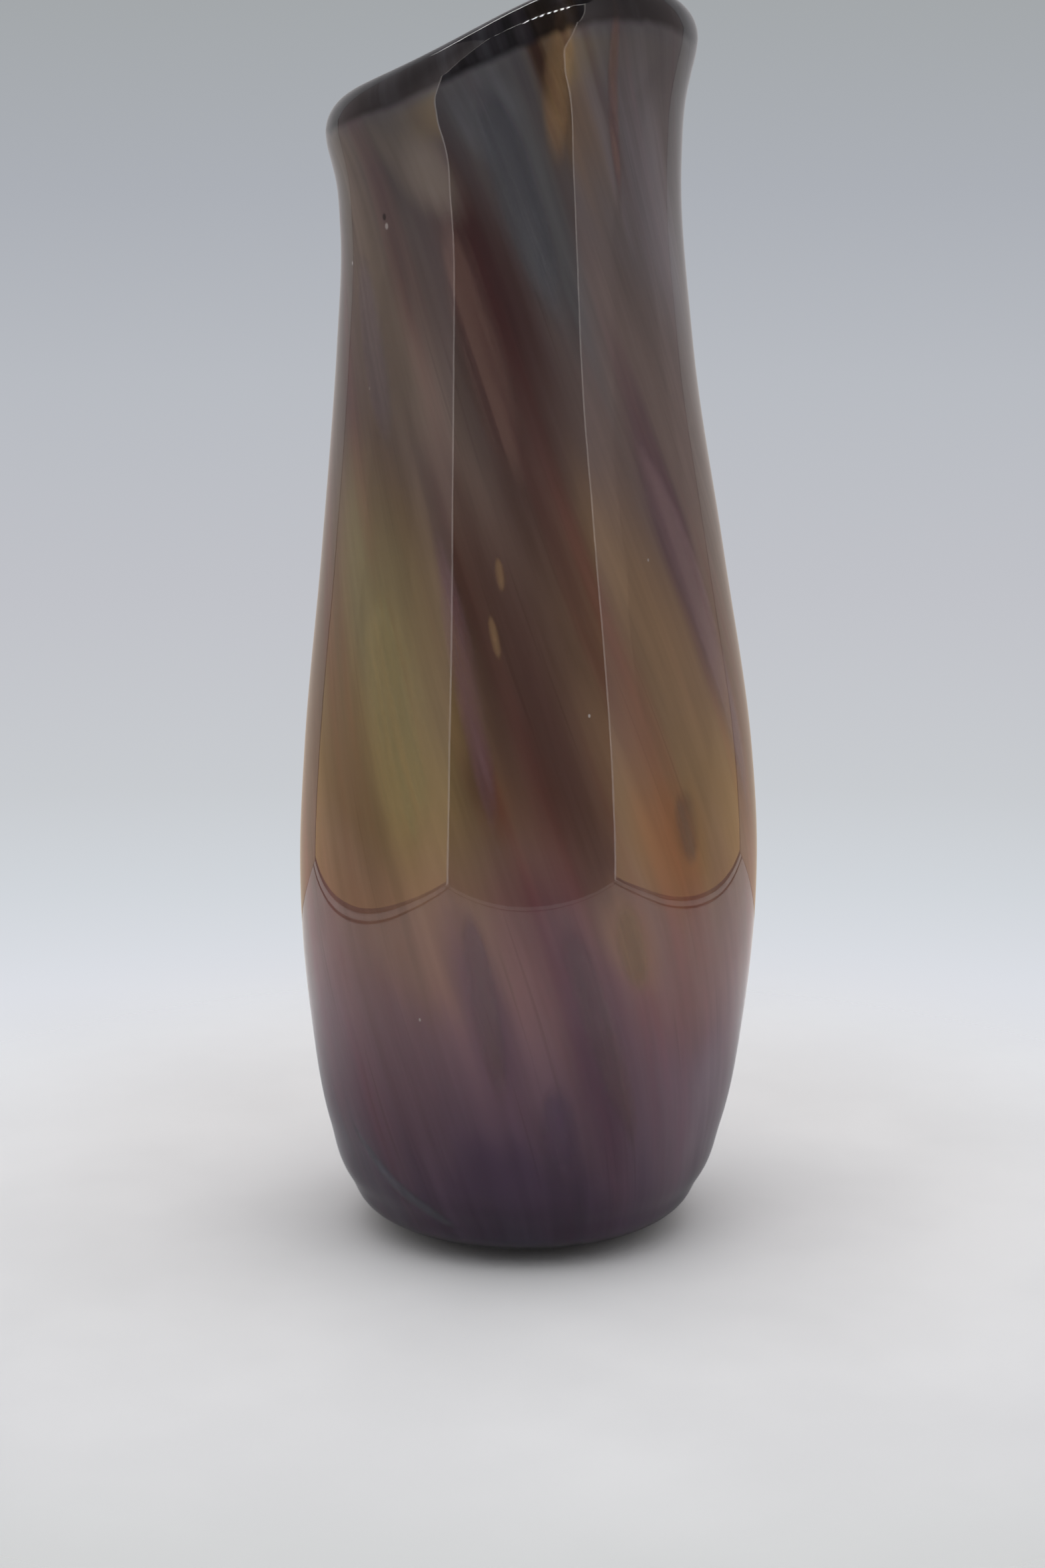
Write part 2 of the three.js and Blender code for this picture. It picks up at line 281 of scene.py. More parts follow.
class Graph:
    """Nodes of a material or world, added one at a time, with links or values for their inputs."""

    def __init__(self, name, owners=bpy.data.materials):
        self.owner = owners.new(name)
        self.owner.use_nodes = True
        self.tree = self.owner.node_tree
        self.tree.nodes.clear()

    def add(self, kind, inputs=None, **settings):
        node = self.tree.nodes.new("ShaderNode" + kind)
        for key, value in settings.items():
            setattr(node, key, value)
        for key, value in (inputs or {}).items():
            socket = node.inputs[key]
            if isinstance(value, bpy.types.NodeSocket):
                self.tree.links.new(value, socket)
            else:
                socket.default_value = value
        return node

    def math(self, operation, a, b, c=0.0):
        return self.add("Math", {0: a, 1: b, 2: c}, operation=operation).outputs[0]

    def vector(self, operation, a, b):
        node = self.add("VectorMath", {0: a, 1: b}, operation=operation)
        return node.outputs["Value" if operation == "LENGTH" else "Vector"]

    def mix(self, share, a, b, blend="MIX"):
        node = self.add("Mix", {0: share, 6: a, 7: b}, data_type="RGBA", blend_type=blend)
        return node.outputs[2]

    def smooth(self, value, low, high, start=0.0, end=1.0):
        inputs = {"Value": value, "From Min": low, "From Max": high, "To Min": start, "To Max": end}
        return self.add("MapRange", inputs, interpolation_type="SMOOTHSTEP").outputs[0]

    def noise(self, coordinates, scale, detail=3.0, roughness=0.5, distortion=0.0):
        inputs = {
            "Vector": coordinates, "Scale": scale, "Detail": detail,
            "Roughness": roughness, "Distortion": distortion,
        }
        return self.add("TexNoise", inputs)

    def finish(self, shader, output="OutputMaterial"):
        self.add(output, {"Surface": shader})
        return self.owner


def fill_ramp(ramp, stops):
    """Gives a colour ramp its stops, as (position, linear colour)."""
    while len(ramp.elements) < len(stops):
        ramp.elements.new(0.5)
    for element, (position, colour) in zip(ramp.elements, stops):
        element.position = position
        element.color = (*colour, 1)


TWIST, TWIST_GROWTH = 4.0, 10.0  # radians a metre that streaks turn at the foot, and its growth
FLOW_RADIUS = 0.05  # the flowing coordinates lie on a cylinder of this radius


def flow_turn(height):
    return height * (TWIST + TWIST_GROWTH * height)


def flowing(graph, place, stretch=1.0, shift=(0.0, 0.0, 0.0)):
    """Places on an upright cylinder, turned with height so that the streaks run straight up."""
    split = graph.add("SeparateXYZ", {0: place})
    x, y, height = split.outputs
    around = graph.add("CombineXYZ", {0: x, 1: y}).outputs[0]
    around = graph.add("VectorMath", {0: around}, operation="NORMALIZE").outputs["Vector"]
    growth = graph.math("MULTIPLY_ADD", height, TWIST_GROWTH, TWIST)
    turned = graph.add(
        "VectorRotate",
        {"Vector": around, "Angle": graph.math("MULTIPLY", height, growth), "Axis": (0, 0, 1)},
        rotation_type="AXIS_ANGLE",
    ).outputs[0]
    across = graph.vector("MULTIPLY", turned, (FLOW_RADIUS,) * 3)
    along = graph.add("CombineXYZ", {2: graph.math("MULTIPLY", height, stretch)}).outputs[0]
    return graph.vector("ADD", graph.vector("ADD", across, along), shift)


def flow_point(degrees, height):
    """The flowing coordinates of a place on the skin."""
    angle = math.radians(degrees) + flow_turn(height * MM)
    return FLOW_RADIUS * math.cos(angle), FLOW_RADIUS * math.sin(angle), height * MM


# Colours down the vase, as (height, linear colour).
HEIGHT_COLOURS = [
    (0, (0.13, 0.10, 0.165)), (23, (0.19, 0.12, 0.20)), (38, (0.25, 0.15, 0.21)),
    (56, (0.33, 0.19, 0.235)), (73, (0.38, 0.21, 0.215)), (90, (0.38, 0.23, 0.205)),
    (103, (0.36, 0.23, 0.19)), (119, (0.29, 0.18, 0.12)), (150, (0.25, 0.165, 0.12)),
    (181, (0.24, 0.17, 0.14)), (211, (0.21, 0.16, 0.145)), (242, (0.17, 0.135, 0.13)),
    (268, (0.17, 0.15, 0.15)), (290, (0.16, 0.155, 0.165)), (310, (0.12, 0.125, 0.14)),
]

# Soft patches, as (degrees, height, half width, half length, strength, linear colour). Most are the
# glass's own colours; a few are painted reflections, marked where they stand.
PATCHES = [
    # Olive on the belly's left side: the glass's own olive, with a painted warm reflection of the left
    # side wall.
    (-126, 146, 28, 60, 0.9, (0.42, 0.31, 0.15)),
    # Painted greenish highlight along the belly's left edge.
    (-138, 168, 13, 40, 0.55, (0.38, 0.37, 0.22)),
    (-128, 212, 18, 44, 0.75, (0.34, 0.27, 0.22)),
    (-118, 88, 26, 24, 0.6, (0.48, 0.29, 0.20)),
    # Khaki on the belly's right side: the glass's own colour, with a painted warm reflection of the
    # right side wall.
    (-52, 142, 27, 58, 0.85, (0.40, 0.27, 0.155)),
    (-42, 206, 22, 50, 0.7, (0.33, 0.26, 0.24)),
    (-152, 246, 20, 50, 0.7, (0.34, 0.28, 0.22)),
    (-40, 256, 26, 56, 0.7, (0.26, 0.23, 0.23)),
    (-106, 240, 15, 56, 0.9, (0.10, 0.052, 0.052)),
    (-89, 200, 13, 42, 0.6, (0.15, 0.09, 0.08)),
    (-85, 256, 9, 50, 0.85, (0.17, 0.175, 0.185)),
    (-88, 140, 15, 60, 0.85, (0.165, 0.09, 0.08)),
    (-107, 160, 5, 50, 0.6, (0.10, 0.055, 0.05)),
    (-97, 118, 6, 16, 0.6, (0.30, 0.11, 0.07)),
    (-38, 176, 8, 56, 0.8, (0.16, 0.085, 0.12)),
    (-48, 108, 12, 16, 0.5, (0.46, 0.24, 0.09)),
    (-100, 70, 9, 38, 0.7, (0.19, 0.095, 0.16)),
    (-69, 62, 10, 42, 0.7, (0.17, 0.08, 0.14)),
    (-85, 78, 8, 28, 0.5, (0.38, 0.19, 0.19)),
    (-63, 88, 9, 16, 0.6, (0.52, 0.32, 0.20)),
    (-88, 20, 34, 16, 0.6, (0.14, 0.085, 0.155)),
    (-150, 22, 18, 16, 0.5, (0.15, 0.16, 0.20)),
    (-34, 34, 24, 30, 0.6, (0.37, 0.28, 0.36)),
    (-80, 168, 12, 48, 0.5, (0.17, 0.10, 0.09)),
    (-117, 222, 7, 32, 0.6, (0.15, 0.11, 0.10)),
    (-103, 122, 6, 14, 0.7, (0.10, 0.055, 0.055)),
    (-130, 272, 11, 14, 0.7, (0.36, 0.31, 0.26)),
    (-42, 262, 22, 34, 0.6, (0.31, 0.30, 0.34)),
    (-24, 30, 20, 28, 0.5, (0.42, 0.34, 0.42)),
    # Pale blue-grey on the flare under the lip: the slate glass brightened with a painted reflection
    # of the floor.
    (-106, 282, 11, 10, 0.6, (0.24, 0.25, 0.28)),
    (-76, 284, 10, 40, 0.85, (0.25, 0.165, 0.10)),
    (-87, 294, 4, 26, 0.85, (0.06, 0.03, 0.025)),
    (-65, 284, 4, 44, 0.7, (0.10, 0.06, 0.05)),
    (100, 225, 22, 60, 0.8, (0.12, 0.06, 0.06)),
    (60, 140, 28, 56, 0.8, (0.40, 0.29, 0.15)),
    (150, 150, 24, 56, 0.7, (0.40, 0.30, 0.16)),
    (20, 215, 14, 50, 0.6, (0.17, 0.11, 0.11)),
    (105, 130, 14, 50, 0.7, (0.17, 0.09, 0.10)),
    (75, 65, 10, 40, 0.6, (0.19, 0.095, 0.16)),
    (130, 60, 10, 40, 0.6, (0.19, 0.095, 0.16)),
    (42, 282, 10, 40, 0.7, (0.25, 0.16, 0.09)),
]

SHADED_RIM_HEIGHT, SHADED_RIM_BLEND = 285.5, 2.4  # where the painted shade on the rim begins, and how far it takes to blend

# Seed bubbles, as (degrees, height, radius, linear colour).
SEEDS = [
    (-136, 258, 0.7, (0.75, 0.72, 0.70)), (-137, 260.5, 0.8, (0.05, 0.04, 0.04)),
    (-158, 250, 0.45, (0.75, 0.72, 0.70)), (-74, 141, 0.4, (0.85, 0.82, 0.80)),
    (-143, 216, 0.35, (0.6, 0.57, 0.52)), (-52, 176, 0.35, (0.6, 0.55, 0.5)),
    (-118, 66, 0.4, (0.7, 0.62, 0.6)), (60, 190, 0.6, (0.75, 0.72, 0.70)),
    (132, 240, 0.5, (0.75, 0.72, 0.70)), (20, 120, 0.4, (0.75, 0.72, 0.70)),
]


def overlay_point(degrees, height):
    """A place on the overlay in metres, for a seed bubble."""
    return Vector(warp(math.radians(degrees), *inset(height, overlay_front)))


def rim_shade_share(graph, strands):
    """How far the painted shade on the rim has taken over, with a slightly ragged edge."""
    level = graph.add("Attribute", attribute_name="level").outputs["Fac"]
    ragged = graph.math("MULTIPLY_ADD", graph.math("SUBTRACT", strands, 0.5), 0.004, level)
    return graph.smooth(ragged, SHADED_RIM_HEIGHT * MM, (SHADED_RIM_HEIGHT + SHADED_RIM_BLEND) * MM, 0, 0.9)


def wandering(graph, place):
    """The flowing coordinates, pushed about so that colours meet in drifts and strands."""
    middle = (0.5,) * 3
    drift = graph.noise(flowing(graph, place, 0.3), 30, detail=2).outputs["Color"]
    offset = graph.vector("MULTIPLY", graph.vector("SUBTRACT", drift, middle), (0.022, 0.022, 0.05))
    strand = graph.noise(flowing(graph, place, 0.05, (0.2, 0, 0)), 150, detail=3).outputs["Color"]
    comb = graph.vector("MULTIPLY", graph.vector("SUBTRACT", strand, middle), (0.006, 0.006, 0.01))
    return graph.vector("ADD", flowing(graph, place), graph.vector("ADD", offset, comb))


def height_colour(graph, flow):
    top = HEIGHT_COLOURS[-1][0]
    height = graph.add("SeparateXYZ", {0: flow}).outputs["Z"]
    ramp = graph.add("ValToRGB", {0: graph.math("DIVIDE", height, top * MM)})
    fill_ramp(ramp.color_ramp, [(level / top, colour) for level, colour in HEIGHT_COLOURS])
    return ramp.outputs["Color"]


def with_patches(graph, flow, colour):
    for degrees, level, half_width, half_length, strength, tint in PATCHES:
        away = graph.vector("SUBTRACT", flow, flow_point(degrees, level))
        size = (1 / (half_width * MM), 1 / (half_width * MM), 1 / (half_length * MM))
        distance = graph.vector("LENGTH", graph.vector("MULTIPLY", away, size), (0, 0, 0))
        share = graph.smooth(distance, 1.15, 0.25, 0.0, strength)
        colour = graph.mix(share, colour, (*tint, 1))
    return colour


def with_strands(graph, place, broad, colour):
    """Strands of darker, pinker and paler glass that stream along the twist."""
    fine = graph.noise(flowing(graph, place, 0.03, (0.3, 0.1, 0)), 330, detail=4, roughness=0.65)
    tones = graph.smooth(broad, 0.3, 0.7, 0.84, 1.13)
    value = graph.math("ADD", tones, graph.smooth(fine.outputs[0], 0.3, 0.7, -0.045, 0.055))
    tone = graph.add("CombineColor", {0: value, 1: value, 2: value}).outputs[0]
    colour = graph.mix(1.0, colour, tone, "MULTIPLY")
    rosy = graph.noise(flowing(graph, place, 0.08, (0.7, 0.4, 0.2)), 55, detail=3).outputs[0]
    blush = graph.mix(1.0, colour, (1.15, 0.78, 0.85, 1), "MULTIPLY")
    colour = graph.mix(graph.smooth(rosy, 0.5, 0.72, 0, 0.8), colour, blush)
    hair = graph.noise(flowing(graph, place, 0.02, (0.1, 0.6, 0.3)), 520, detail=2).outputs[0]
    return graph.mix(graph.smooth(hair, 0.64, 0.74, 0, 0.16), colour, (0.05, 0.03, 0.03, 1))


def with_seeds(graph, place, colour):
    for degrees, level, radius, tint in SEEDS:
        away = graph.vector("SUBTRACT", place, overlay_point(degrees, level))
        distance = graph.vector("LENGTH", graph.vector("MULTIPLY", away, (1, 1, 0.7)), (0, 0, 0))
        share = graph.smooth(distance, radius * MM, 0.4 * radius * MM, 0, 0.9)
        colour = graph.mix(share, colour, (*tint, 1))
    return colour


def with_rim_shade(graph, broad, colour):
    """Painted shade: nearly black where the layers turn over into the mouth, standing in for the box's
    dark open front mirrored in the rolled lip, with paler grey where the broad noise is high.
    """
    paler = graph.smooth(broad, 0.45, 0.7)
    shade = graph.mix(paler, (0.012, 0.01, 0.011, 1), (0.055, 0.055, 0.065, 1))
    return graph.mix(rim_shade_share(graph, broad), colour, shade)


def overlay_material():
    graph = Graph("mottled_overlay")
    place = graph.add("TexCoord").outputs["Object"]
    flow = wandering(graph, place)
    streams = flowing(graph, place, 0.12)
    broad = graph.noise(streams, 70, detail=4, roughness=0.55, distortion=0.3).outputs[0]
    colour = with_patches(graph, flow, height_colour(graph, flow))
    colour = with_strands(graph, place, broad, colour)
    # Painted shade on the rim, over the seeds and strands.
    colour = with_rim_shade(graph, broad, with_seeds(graph, place, colour))
    grain = graph.noise(place, 900, detail=2).outputs[0]
    roughness = graph.smooth(grain, 0.3, 0.7, 0.35, 0.55)
    shader = graph.add("BsdfPrincipled", {"Base Color": colour, "Roughness": roughness, "IOR": 1.02})
    return graph.finish(shader.outputs[0])


def streak_material(slot, colour, second):
    """Coloured glass with strands of a second colour, feathered out at its edges."""
    graph = Graph(slot)
    place = graph.add("TexCoord").outputs["Object"]
    flow = flowing(graph, place, 0.04, (0.2, 0.5, 0.1))
    strands = graph.noise(flow, 230, detail=4, roughness=0.6, distortion=0.3).outputs[0]
    body = graph.mix(graph.smooth(strands, 0.35, 0.65), (*colour, 1), (*second, 1))
    # Painted shade on the rim: the streak turns nearly black where it rolls over into the mouth, as
    # the overlay does.
    body = graph.mix(rim_shade_share(graph, strands), body, (0.02, 0.014, 0.012, 1))
    feather = graph.add("Attribute", attribute_name="feather").outputs["Fac"]
    ragged = graph.math("MULTIPLY", feather, graph.smooth(strands, 0.25, 0.75, 0.55, 1.45))
    alpha = graph.smooth(ragged, 0.0, 1.25, 0, 0.5)
    shader = graph.add(
        "BsdfPrincipled", {"Base Color": body, "Roughness": 0.4, "IOR": 1.02, "Alpha": alpha}
    )
    return graph.finish(shader.outputs[0])


def clear_material(name, tint, waviness):
    """Clear, faintly smoky, rippled glass that lets lamps shine through on to the colours."""
    graph = Graph(name)
    place = graph.add("TexCoord").outputs["Object"]
    ripple = graph.noise(place, 28, detail=1).outputs[0]
    swirl = graph.noise(flowing(graph, place, 0.1), 120, detail=2).outputs[0]
    height = graph.math("ADD", ripple, graph.math("MULTIPLY", swirl, 0.04))
    bump = graph.add("Bump", {"Height": height, "Strength": 1.0, "Distance": waviness})
    smear = graph.noise(place, 90, detail=4).outputs[0]
    glass = graph.add(
        "BsdfPrincipled",
        {
            "Base Color": (*tint, 1), "Roughness": graph.smooth(smear, 0.45, 0.8, 0.0, 0.02),
            "IOR": 1.5, "Transmission Weight": 1.0, "Normal": bump.outputs[0],
        },
    )
    through = graph.add("BsdfTransparent", {0: (*tint, 1)})
    shadow = graph.add("LightPath").outputs["Is Shadow Ray"]
    shader = graph.add("MixShader", {0: shadow, 1: glass.outputs[0], 2: through.outputs[0]})
    return graph.finish(shader.outputs[0])


# ---- Coloured streaks, as the CAD has them ----

# Each colour's material slot, its main colour and that of its strands.
COLOURS = {
    "slate": ("slate_glass", (0.14, 0.15, 0.165), (0.10, 0.10, 0.115)),
    "amber": ("amber_glass", (0.40, 0.255, 0.13), (0.25, 0.15, 0.09)),
    "brown": ("brown_glass", (0.12, 0.062, 0.06), (0.20, 0.12, 0.10)),
    "purple": ("purple_glass", (0.19, 0.115, 0.125), (0.25, 0.165, 0.17)),
    "plum": ("plum_glass", (0.20, 0.105, 0.125), (0.26, 0.15, 0.16)),
    "olive": ("olive_glass", (0.38, 0.29, 0.13), (0.30, 0.26, 0.12)),
    "lilac": ("lilac_glass", (0.20, 0.16, 0.16), (0.13, 0.10, 0.10)),
    "indigo": ("indigo_glass", (0.18, 0.105, 0.19), (0.23, 0.14, 0.21)),
    "blueGrey": ("blue_grey_glass", (0.22, 0.24, 0.30), (0.13, 0.12, 0.155)),
}

# Each streak's node, colour, width in millimetres and route of (degrees, height).
STREAKS = [
    ("slate_neck_swath", "slate", 13, [(-102, 286), (-93, 268), (-83, 246), (-71, 221)]),
    ("amber_lip_streak", "amber", 10, [(-72, 299), (-74, 287), (-75, 272), (-73, 254)]),
    ("brown_neck_strand", "brown", 4, [(-58, 298), (-56, 280), (-53, 262), (-50, 244)]),
    ("russet_neck_swath", "brown", 14, [(-114, 266), (-105, 238), (-96, 213), (-88, 188)]),
    ("lilac_shoulder_swath", "lilac", 12, [(-152, 258), (-142, 228), (-131, 198)]),
    ("purple_side_ribbon", "purple", 12, [(-57, 214), (-44, 188), (-32, 160), (-22, 128), (-15, 100)]),
    ("plum_twist_strand", "plum", 9, [(-118, 194), (-111, 170), (-106, 150), (-101, 128), (-97, 106)]),
    ("amber_shard_upper", "amber", 3, [(-97, 179), (-95.5, 169)]),
    ("amber_shard_lower", "amber", 3, [(-99.5, 166), (-96.5, 153)]),
    ("olive_belly_field", "olive", 24, [(-137, 178), (-129, 150), (-123, 125), (-121, 101)]),
    ("brown_belly_patch", "brown", 10, [(-49, 124), (-46, 100)]),
    ("plum_lower_left_streak", "plum", 9, [(-105, 98), (-101, 73), (-95, 40)]),
    ("plum_lower_right_streak", "plum", 10, [(-83, 99), (-72, 66), (-56, 26)]),
    ("amber_lower_patch", "amber", 10, [(-67, 98), (-64, 85), (-60, 70)]),
    ("indigo_heel_patch", "indigo", 12, [(-83, 54), (-81, 38), (-77, 22)]),
    ("blue_grey_heel_trail", "blueGrey", 5, [(-150, 37), (-137, 23), (-122, 14), (-109, 8)]),
    ("slate_back_swath", "slate", 12, [(70, 280), (82, 250), (95, 220), (108, 190)]),
    ("amber_back_lip_streak", "amber", 5, [(40, 287), (44, 270), (50, 255)]),
    ("plum_back_strand", "plum", 6, [(25, 230), (35, 200), (48, 165), (58, 130)]),
    ("purple_back_ribbon", "purple", 11, [(62, 192), (77, 155), (90, 120)]),
    ("olive_back_field", "olive", 18, [(150, 160), (158, 130), (163, 105)]),
    ("amber_back_patch", "amber", 9, [(20, 100), (28, 78)]),
    ("plum_back_lower_streak", "plum", 7, [(120, 90), (132, 60), (146, 30)]),
]

STREAK_STEPS, STREAK_COLUMNS = 64, 14


def route_curve(route):
    """Centres and headings at even steps along a route of (degrees, height)."""
    knots = np.arange(len(route))
    at = np.linspace(0, len(route) - 1, STREAK_STEPS + 1)
    if len(route) == 2:
        centres = np.array(route[0]) + at[:, None] * (np.array(route[1]) - np.array(route[0]))
    else:
        columns = [smooth_through(list(zip(knots, column)))(at) for column in zip(*route)]
        centres = np.stack(columns, -1)
    return centres, np.gradient(centres, axis=0)


def streak_points(width, route):
    """A streak's back and front grids, and each point's feathering, 0 at the edge, and level."""
    centres, headings = route_curve(route)
    degree = radius_at(centres[:, 1]) * math.pi / 180
    side = np.stack([-headings[:, 1], headings[:, 0] * degree], -1)
    side /= np.linalg.norm(side, axis=1)[:, None]
    along = np.linspace(0, 1, STREAK_STEPS + 1)
    half = (width / 2) * (0.12 + 0.88 * np.sin(np.pi * along) ** 0.7)
    across = np.linspace(-1, 1, STREAK_COLUMNS + 1)
    reach = half[:, None] * across
    degrees = centres[:, :1] + reach * (side[:, 0] / degree)[:, None]
    heights = centres[:, 1:] + reach * side[:, 1:]
    grids = []
    for depth_at in (lambda h: streak_front(h) + STREAK, streak_front):
        radii, levels = inset(heights, depth_at)
        grids.append(warp(np.radians(degrees), radii, levels).reshape(-1, 3))
    ends = smoothstep(np.minimum(along, 1 - along), 0, 0.3)
    feather = ends[:, None] * (1 - across[None, :] ** 2) ** 1.5
    return np.concatenate(grids), np.tile(feather.ravel(), 2), np.tile(heights.ravel(), 2) * MM


def slab_faces(steps, columns):
    """Faces of a slab whose back grid of points comes first and its front grid second."""

    def at(side, step, column):
        return side * (steps + 1) * (columns + 1) + step * (columns + 1) + column

    faces = []
    for i in range(steps):
        for j in range(columns):
            faces.append((at(1, i, j), at(1, i + 1, j), at(1, i + 1, j + 1), at(1, i, j + 1)))
            faces.append((at(0, i, j), at(0, i, j + 1), at(0, i + 1, j + 1), at(0, i + 1, j)))
        faces.append((at(0, i, 0), at(0, i + 1, 0), at(1, i + 1, 0), at(1, i, 0)))
        last = columns
        faces.append((at(0, i, last), at(1, i, last), at(1, i + 1, last), at(0, i + 1, last)))
    for j in range(columns):
        faces.append((at(0, 0, j), at(1, 0, j), at(1, 0, j + 1), at(0, 0, j + 1)))
        faces.append((at(0, steps, j), at(0, steps, j + 1), at(1, steps, j + 1), at(1, steps, j)))
    return faces


def give_values(piece, name, values):
    """Gives every point of a piece a number for its material."""
    layer = piece.data.attributes.new(name, "FLOAT", "POINT")
    layer.data.foreach_set("value", values)


def build_streaks():
    materials = {key: streak_material(*spec) for key, spec in COLOURS.items()}
    faces = slab_faces(STREAK_STEPS, STREAK_COLUMNS)
    for node, colour, width, route in STREAKS:
        points, feather, levels = streak_points(width, route)
        slot = COLOURS[colour][0]
        piece = new_piece(node + "_glass", points, faces, slot, [node], materials[colour])
        give_values(piece, "feather", feather)
        give_values(piece, "level", levels)
        piece.visible_shadow = False


def build_layers():
    clear = clear_material("clear_casing", (0.97, 0.97, 0.98), 0.00012)
    inner = clear_material("inner_gather", (0.93, 0.92, 0.93), 0.0002)
    colours = overlay_material()
    loop = overlay_loop()
    new_piece("casing", *revolve(casing_loop()), "clear_glass", ["clear_casing"], clear)
    overlay = new_piece("overlay", *revolve(loop), "overlay_glass", ["colour_overlay"], colours)
    heights = np.array([height for _, height in loop]) * MM
    rings = np.repeat(heights[1:-1], SEGMENTS)
    give_values(overlay, "level", np.concatenate([heights[[0, -1]], rings]))
    new_piece("gather", *revolve(gather_loop()), "gather_glass", ["inner_gather"], inner)


# ---- Stage: floor, light box and camera ----

BOX_LEFT, BOX_RIGHT = -0.385, 0.42
BOX_FRONT, BOX_BACK = -0.48, 0.30
BOX_HEIGHT = 0.80
CLEAR = 0.001  # the dark strips of painted shade stand this far off the wall that they lie on
EDGE_WIDTH = 0.013  # of the side walls' bright front edges
FOOT_SHADE_HEIGHT = 0.004  # of the dark strips of painted shade at the side walls' feet
CORNER_WIDTH = 0.008  # of the dark strips of painted shade in the box's back corners
SIDE_FOLD = (0.024, 0.031)  # from where to where the painted shade of the floor's folds runs, in from the side walls
FRONT_FOLD = (0.022, 0.026)  # and in from the front
FOLD_HEIGHT = 0.0003
BACK_STRIP_HEIGHT = 0.07  # of the bright strip along the back wall's top
LED_COUNT, LED_SPACING, LED_MIDDLE = 7, 0.0516, 0.07
LED_WIDTH, LED_LENGTH = 0.024, 0.06
LED_PLACE = 0.02  # how far in from the front and down from the top the lamps are
LED_STRIP_HEIGHT = 0.012
FILL, SIDE_FILL = 2.3, 0.75
# Glows up the walls, as (height, linear colour).
SIDE_GLOW = [
    (0.0, (1.65, 1.12, 0.5)), (0.05, (1.65, 1.18, 0.6)), (0.10, (1.35, 1.05, 0.65)),
    (0.15, (1.0, 0.82, 0.7)), (0.21, (0.7, 0.58, 0.58)), (0.8, (0.6, 0.55, 0.56)),
]
BACK_GLOW = [
    (0.0, (0.6, 0.48, 0.36)), (0.1, (0.56, 0.48, 0.42)), (0.25, (0.47, 0.46, 0.47)),
    (0.8, (0.36, 0.36, 0.38)),
]


def emission(name, colour, strength):
    graph = Graph(name)
    glow = graph.add("Emission", {"Color": (*colour, 1), "Strength": strength})
    return graph.finish(glow.outputs[0])


def panel(name, corners, material, seen=False):
    """A flat panel of the stage, which the camera itself doesn't see unless told to."""
    mesh = bpy.data.meshes.new(name)
    mesh.from_pydata(corners, [], [(0, 1, 2, 3)])
    mesh.materials.append(material)
    piece = bpy.data.objects.new(name, mesh)
    bpy.context.scene.collection.objects.link(piece)
    piece.visible_camera = seen
    return piece


def upright(name, x, heights, material, near=BOX_FRONT):
    """A panel along a side of the box, from a near place to the back wall."""
    low, high = heights
    back = BOX_BACK
    return panel(name, [(x, near, low), (x, back, low), (x, back, high), (x, near, high)], material)


def facing(name, y, heights, material, span=(-BOX_RIGHT, BOX_RIGHT)):
    """A panel that faces the front, over a span of x."""
    low, high = heights
    left, right = span
    corners = [(left, y, low), (right, y, low), (right, y, high), (left, y, high)]
    return panel(name, corners, material)


def lying(name, z, material, span=(-BOX_RIGHT, BOX_RIGHT), depth=(BOX_FRONT, BOX_BACK)):
    """A level panel, over a span of x and a depth of y."""
    left, right = span
    near, far = depth
    corners = [(left, near, z), (right, near, z), (right, far, z), (left, far, z)]
    return panel(name, corners, material)


def wall_glow(name, glows, far_share):
    """A glowing wall, with its own colours up its height, and dimmer at the back."""
    graph = Graph(name)
    place = graph.add("TexCoord").outputs["Object"]
    split = graph.add("SeparateXYZ", {0: place})
    ramp = graph.add("ValToRGB", {0: graph.math("DIVIDE", split.outputs["Z"], BOX_HEIGHT)})
    fill_ramp(ramp.color_ramp, [(level / BOX_HEIGHT, colour) for level, colour in glows])
    strength = graph.smooth(split.outputs["Y"], BOX_FRONT, -0.1, 1, far_share)
    glow = graph.add("Emission", {"Color": ramp.outputs["Color"], "Strength": strength})
    return graph.finish(glow.outputs[0])


def build_walls():
    side_wall = wall_glow("box_side_wall", SIDE_GLOW, 0.55)
    edge = emission("box_edge", (1.0, 0.92, 0.88), 2.4)
    # A dim glow for the dark strips: painted shade in the box's corners, at the walls' feet and along
    # the floor's folds.
    shade_strip = emission("box_painted_shade", (0.9, 0.8, 0.9), 0.06)
    full = (0, BOX_HEIGHT)
    for inward, x, side in ((1, BOX_LEFT, "left"), (-1, BOX_RIGHT, "right")):
        wall = upright("box_" + side, x, full, side_wall)
        wall.visible_diffuse = False
        strip = x + inward * CLEAR
        fold = [x + inward * place for place in SIDE_FOLD]
        # Dim strips of painted shade at the wall's foot, along the floor's fold beside it and in the
        # back corner.
        upright("seam_" + side, strip, (0, FOOT_SHADE_HEIGHT), shade_strip)
        facing("edge_" + side, BOX_FRONT, full, edge, (x + inward * EDGE_WIDTH, x))
        lying("fold_" + side, FOLD_HEIGHT, shade_strip, fold)
        upright("corner_" + side, strip, full, shade_strip, BOX_BACK - CORNER_WIDTH)
    # Dim strip of painted shade along the floor's fold near the front.
    lying("fold_front", FOLD_HEIGHT, shade_strip, depth=[BOX_FRONT + place for place in FRONT_FOLD])
    facing("box_back", BOX_BACK, full, wall_glow("box_back_wall", BACK_GLOW, 1.0))
    lying("box_top", BOX_HEIGHT, emission("box_ceiling", (1.0, 0.95, 0.95), 0.03))


def build_fills():
    """Soft light for the colours and the floor, which the glass doesn't mirror."""
    fill = emission("fill", (1.0, 1.0, 1.0), FILL)
    side_fill = emission("side_fill", (1.0, 0.99, 0.98), SIDE_FILL)
    fills = [
        lying("fill", BOX_HEIGHT - 10 * CLEAR, fill),
        upright("fill_left", BOX_LEFT + 2 * CLEAR, (0, BOX_HEIGHT), side_fill),
        upright("fill_right", BOX_RIGHT - 2 * CLEAR, (0, BOX_HEIGHT), side_fill),
    ]
    for soft in fills:
        soft.visible_glossy = soft.visible_transmission = False


